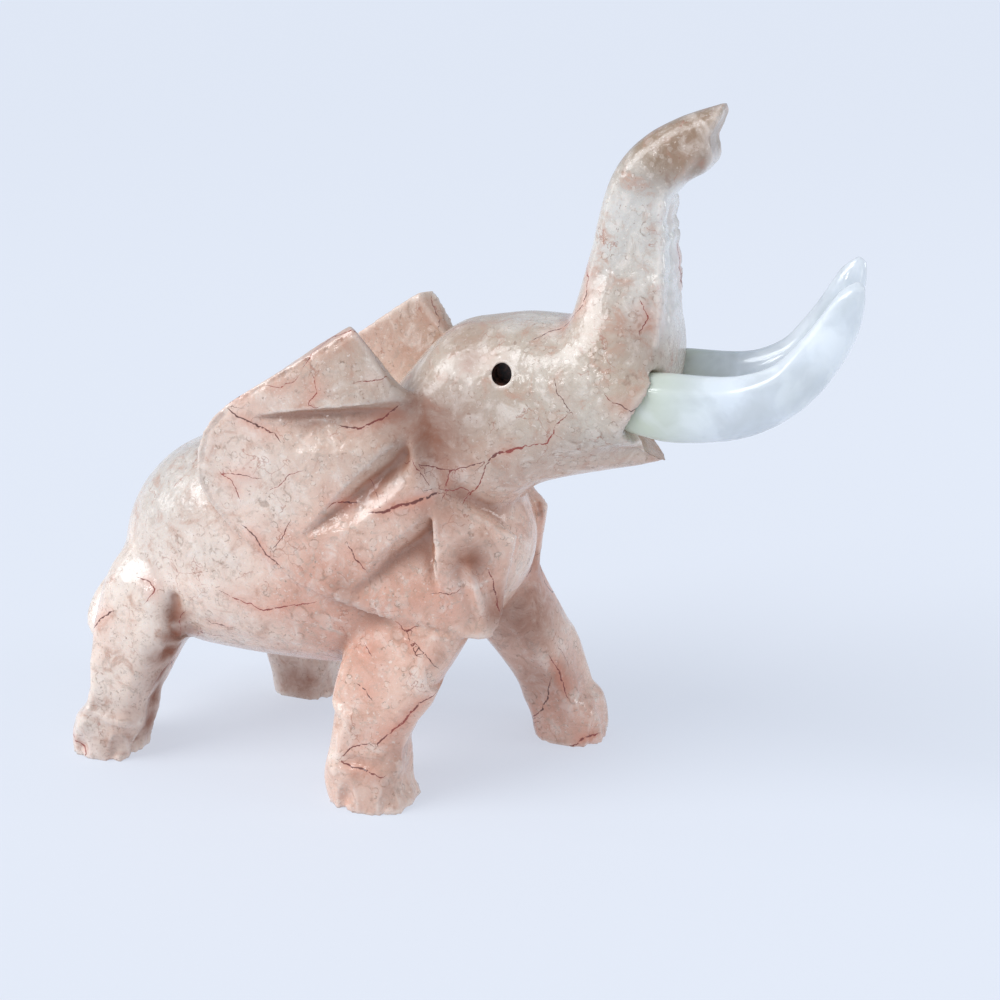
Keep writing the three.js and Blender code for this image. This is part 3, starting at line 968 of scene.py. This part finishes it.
def zone_colour(tree, place, grid):
    """Pink low down, paler behind, grey on the top of the rump as a painted sheen, beige on the head, grey
    on the trunk, partly its own tone and partly a painted sheen, and a brown tip.
    """
    cloud = noise(tree, grid, 0.024, detail=3, rough=0.5, warp=0.4).outputs["Fac"]
    zones = (PINK, PALE, BEIGE, TRUNK_GREY_AND_SHEEN)
    pink, pale, beige, grey = [ramp(tree, cloud, CLOUD_PLACES, colours) for colours in zones]
    spots = node(tree, "ShaderNodeSeparateXYZ", {0: place}).outputs
    level = plus(tree, spots["Z"], times(tree, cloud, 0.05))
    colour = blend(tree, span(tree, spots["X"], -0.015, -0.06), pink, pale)
    behind = times(tree, span(tree, spots["X"], -0.035, -0.06), span(tree, level, 0.07, 0.1))
    # Painted sheen: the top of the rump is greyed, for the white light it reflects.
    colour = tinted(tree, colour, behind, 0.85, RUMP_SHEEN)
    ahead = times(tree, span(tree, level, 0.09, 0.13), span(tree, spots["X"], -0.05, 0.01))
    colour = blend(tree, ahead, colour, beige)
    # Grey on the trunk, partly the stone's tone and partly a painted sheen of reflected light.
    colour = blend(tree, span(tree, level, 0.138, 0.16), colour, grey)
    return blend(tree, span(tree, level, 0.166, 0.182), colour, TRUNK_TIP)


def shells(tree, grid, scale, seed, strength, colour):
    """Wandering rings of fossil shell, each with a paler inside."""
    offset = vectors(tree, "ADD", grid, (seed, seed, seed))
    made = cells(tree, moved(tree, offset, scale * 2.0, 0.42 / scale), scale)
    pick = node(tree, "ShaderNodeSeparateColor", {0: made.outputs["Color"]}).outputs
    shown = span(tree, pick[0], 0.45, 0.85)
    sizes = {"Value": pick[1], "To Min": 0.2, "To Max": 0.42}
    reach = node(tree, "ShaderNodeMapRange", sizes).outputs["Result"]
    off = arithmetic(tree, "SUBTRACT", made.outputs["Distance"], reach)
    off = arithmetic(tree, "ABSOLUTE", off)
    broken = span(tree, noise(tree, offset, scale * 3, detail=2).outputs["Fac"], 0.45, 0.6)
    ring = times(tree, times(tree, span(tree, off, 0.075, 0.0), shown), broken)
    inside = times(tree, span(tree, made.outputs["Distance"], 0.34, 0.26), shown)
    colour = tinted(tree, colour, inside, strength * 0.4, SHELL_INSIDE)
    return tinted(tree, colour, ring, strength, SHELL_RING)


def mottled(tree, grid, mottle, colour):
    """Light and dark mottling, a smoky haze and the fossil shells."""
    colour = tinted(tree, colour, span(tree, mottle, 0.5, 0.7), 0.5, MOTTLE_LIGHT)
    colour = tinted(tree, colour, span(tree, mottle, 0.5, 0.3), 0.7, MOTTLE_DARK)
    smoke = noise(tree, grid, 0.4, detail=5, rough=0.7, warp=1.2).outputs["Fac"]
    colour = tinted(tree, colour, span(tree, smoke, 0.52, 0.66), 0.55, SMOKE)
    for scale, seed, strength in SHELLS:
        colour = shells(tree, grid, scale, seed, strength, colour)
    return colour


def speckled(tree, grid, grain, colour):
    """Rare hair cracks, and dark and pale specks."""
    rare = span(tree, noise(tree, grid, 0.09, detail=2, rough=0.5).outputs["Fac"], 0.54, 0.6)
    hair = cells(tree, moved(tree, grid, 0.1, 16, detail=4), 0.075, "DISTANCE_TO_EDGE")
    hair = times(tree, span(tree, hair.outputs["Distance"], 0.012, 0.004), rare)
    colour = tinted(tree, colour, hair, 0.5, CRACK)
    colour = tinted(tree, colour, span(tree, grain, 0.6, 0.68), 0.7, SPECK_DARK)
    return tinted(tree, colour, span(tree, grain, 0.42, 0.34), 0.5, SPECK_LIGHT)


def stains_shade_and_highlights(tree, mottle, colour):
    """Darker stains, partly painted shade, painted shade in the hollows, painted highlights on the ridges,
    the trunk's front painted paler as if lit, and redder stone beside the veins.
    """
    patchy = times(tree, span(tree, mottle, 0.75, 0.35), 0.3)
    # Stains of the stone and painted shade darken it unevenly.
    stain_and_shade_share = times(tree, field(tree, "stain_and_shade"), plus(tree, patchy, 0.78))
    colour = blend(tree, stain_and_shade_share, colour, STAIN_AND_SHADE)
    # Painted shade: the stone is darkened in the hollows, where shade falls.
    colour = tinted(tree, colour, span(tree, field(tree, "hollow"), 0.1, 0.9), 0.75, HOLLOW_SHADE)
    # Painted highlight: the sharp ridges are made paler, less so where stained or shaded.
    edge_highlight = span(tree, field(tree, "ridge"), 0.06, 0.2)
    edge_highlight = times(tree, edge_highlight, span(tree, field(tree, "stain_and_shade"), 0.6, 0.1))
    colour = tinted(tree, colour, edge_highlight, 0.3, EDGE_HIGHLIGHT)
    # Painted light: the front of the trunk is made paler, as if lit from the right.
    colour = tinted(tree, colour, field(tree, "pale"), 0.65, TRUNK_FRONT_LIGHT)
    return tinted(tree, colour, field(tree, "vein_red"), 0.8, VEIN_HALO)


def vein_line(tree, grid):
    """Where the thin core of a vein runs, wobbling and broken."""
    wobble = noise(tree, grid, 0.9, detail=3, rough=0.6).outputs["Fac"]
    shifted = plus(tree, field(tree, "vein_aside"), times(tree, wobble, 0.7))
    aside = arithmetic(tree, "SUBTRACT", shifted, 0.35)
    aside = arithmetic(tree, "ABSOLUTE", aside)
    width = times(tree, field(tree, "vein_width"), span(tree, wobble, 0.3, 0.55))
    core = arithmetic(tree, "DIVIDE", aside, arithmetic(tree, "MAXIMUM", width, 0.001))
    return span(tree, core, 0.72, 0.3)


def gloss(tree, grid, grain, line, surface):
    """Duller where grainy, stained or painted with shade, over a slightly wavy surface with cut vein
    lines.
    """
    dull = plus(tree, times(tree, grain, 0.25), 0.14)
    dull = plus(tree, dull, times(tree, field(tree, "stain_and_shade"), 0.4))
    tree.links.new(dull, surface.inputs["Roughness"])
    worked = noise(tree, grid, 0.13, detail=3, rough=0.5, warp=0.3).outputs["Fac"]
    waves = {"Height": worked, "Strength": 0.5, "Distance": 1.6 * MM}
    wavy = node(tree, "ShaderNodeBump", waves).outputs["Normal"]
    cuts = {"Height": line, "Normal": wavy, "Strength": 0.25, "Distance": 0.1 * MM}
    bump = node(tree, "ShaderNodeBump", cuts, invert=True)
    tree.links.new(bump.outputs["Normal"], surface.inputs["Normal"])
    tree.links.new(wavy, surface.inputs["Coat Normal"])
    shiny = span(tree, field(tree, "stain_and_shade"), 1.0, 0.3)
    tree.links.new(times(tree, shiny, 0.4), surface.inputs["Coat Weight"])


def veined_stone():
    """Polished pink-beige fossil marble with fine dark red veins."""
    material, tree, surface = shader("veined_stone", STONE_LOOK)
    place, grid = spot(tree)
    mottle = noise(tree, grid, 0.17, detail=6, rough=0.66, warp=0.8).outputs["Fac"]
    grain = noise(tree, grid, 1.0, detail=6, rough=0.75).outputs["Fac"]
    colour = zone_colour(tree, place, grid)
    colour = mottled(tree, grid, mottle, colour)
    colour = speckled(tree, grid, grain, colour)
    colour = stains_shade_and_highlights(tree, mottle, colour)
    line = vein_line(tree, grid)
    tint = ramp(tree, noise(tree, grid, 0.07, detail=2).outputs["Fac"], VEIN_PLACES, VEIN)
    colour = tinted(tree, colour, line, 0.95, tint)
    tree.links.new(colour, surface.inputs["Base Color"])
    gloss(tree, grid, grain, line, surface)
    return material


def eye_black():
    """The dark inside of a drilled eye."""
    material, tree, surface = shader("eye_black", HOLE_LOOK)
    grid = spot(tree)[1]
    cloud = noise(tree, grid, 0.8, detail=3).outputs["Fac"]
    tree.links.new(ramp(tree, cloud, HOLE_PLACES, HOLE), surface.inputs["Base Color"])
    return material


def pale_stone():
    """Polished translucent greenish-white onyx."""
    material, tree, surface = shader("pale_stone", ONYX_LOOK)
    place, grid = spot(tree)
    cloud = noise(tree, grid, 0.08, rough=0.5, warp=0.8).outputs["Fac"]
    colour = ramp(tree, cloud, ONYX_PLACES, ONYX)
    along = node(tree, "ShaderNodeSeparateXYZ", {0: place}).outputs["X"]
    colour = blend(tree, span(tree, along, 0.07, 0.046), colour, ONYX_ROOT)
    wisp = noise(tree, grid, 0.11, detail=3, rough=0.5, warp=0.8).outputs["Fac"]
    colour = tinted(tree, colour, span(tree, wisp, 0.5, 0.7), 0.3, ONYX_WISP)
    tree.links.new(colour, surface.inputs["Base Color"])
    return material


# Floor and light

FLOOR_HALF = 40
BACKGROUND = (0.77, 0.86, 1.0, 1)
BACKGROUND_STRENGTH = 0.6
SUN_STRENGTH = 2.25
SUN_ANGLE = math.radians(40)
SUN_GLOSS = 0.45                     # the share of the sun that shows in highlights
SUN_COLOUR = (0.98, 1.0, 1.03)
SUN_AIM = Vector((0.6, 0.5, -0.62))
LIGHT_AIM = Vector((0.01, 0, 0.07))
WHITE = (1.0, 1.0, 1.0)
COOL_WHITE = (0.97, 0.99, 1.0)

# Each small light: its name, place, width and height, power and colour
LIGHTS = (
    ("window_light", (-1.1, -0.15, 0.42), (0.14, 0.5), 0.7, WHITE),
    ("right_light", (1.2, 0.2, 0.45), (0.5, 0.4), 3.0, COOL_WHITE),
    ("front_light", (-0.34, -0.97, 0.5), (0.12, 0.12), 0.55, WHITE),
    ("edge_light", (0.9, -0.65, 0.12), (0.12, 0.5), 0.6, WHITE),
)


def floor():
    """A plain pale floor."""
    mesh = bpy.data.meshes.new("floor")
    signs = ((-1, -1), (1, -1), (1, 1), (-1, 1))
    mesh.from_pydata([(x * FLOOR_HALF, y * FLOOR_HALF, 0) for x, y in signs], [], [(0, 1, 2, 3)])
    piece = bpy.data.objects.new("floor", mesh)
    bpy.context.scene.collection.objects.link(piece)
    mesh.materials.append(shader("pale_floor", FLOOR_LOOK)[0])


def add_lamp(data, direction):
    """A lamp that shines in the given direction."""
    lamp = bpy.data.objects.new(data.name, data)
    bpy.context.scene.collection.objects.link(lamp)
    lamp.rotation_euler = direction.to_track_quat("-Z", "Y").to_euler()
    return lamp


def soft_light(name, place, size, power, colour):
    """A rectangular light aimed at the figure."""
    data = bpy.data.lights.new(name, "AREA")
    data.shape = "RECTANGLE"
    data.size, data.size_y = size
    data.energy = power
    data.color = colour
    lamp = add_lamp(data, LIGHT_AIM - Vector(place))
    lamp.location = place


def studio():
    """Even daylight from a pale surround, with a soft sun and small windows for the highlights."""
    world = bpy.data.worlds.new("studio")
    world.use_nodes = True
    back = world.node_tree.nodes["Background"]
    back.inputs["Color"].default_value = BACKGROUND
    back.inputs["Strength"].default_value = BACKGROUND_STRENGTH
    bpy.context.scene.world = world
    bpy.context.scene.view_settings.view_transform = "Standard"
    data = bpy.data.lights.new("top_light", "SUN")
    data.energy = SUN_STRENGTH
    data.angle = SUN_ANGLE
    data.specular_factor = SUN_GLOSS
    data.color = SUN_COLOUR
    add_lamp(data, SUN_AIM)
    for settings in LIGHTS:
        soft_light(*settings)


camera = photo_camera()
body = carved_body(camera)
body.data.materials.append(veined_stone())
drill_eyes(body, eye_black())
paint_veins(body, camera)
paint_stains_and_shade(body, camera)
paint_relief(body)
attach(body, "root")
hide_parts("elephant")

onyx = pale_stone()
for tusk_node in ("tusk_right", "tusk_left"):
    tusk = fine_tusk(tusk_node, "fine_" + tusk_node)
    tusk.data.materials.append(onyx)
    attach(tusk, "root")
    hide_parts(tusk_node)

floor()
studio()
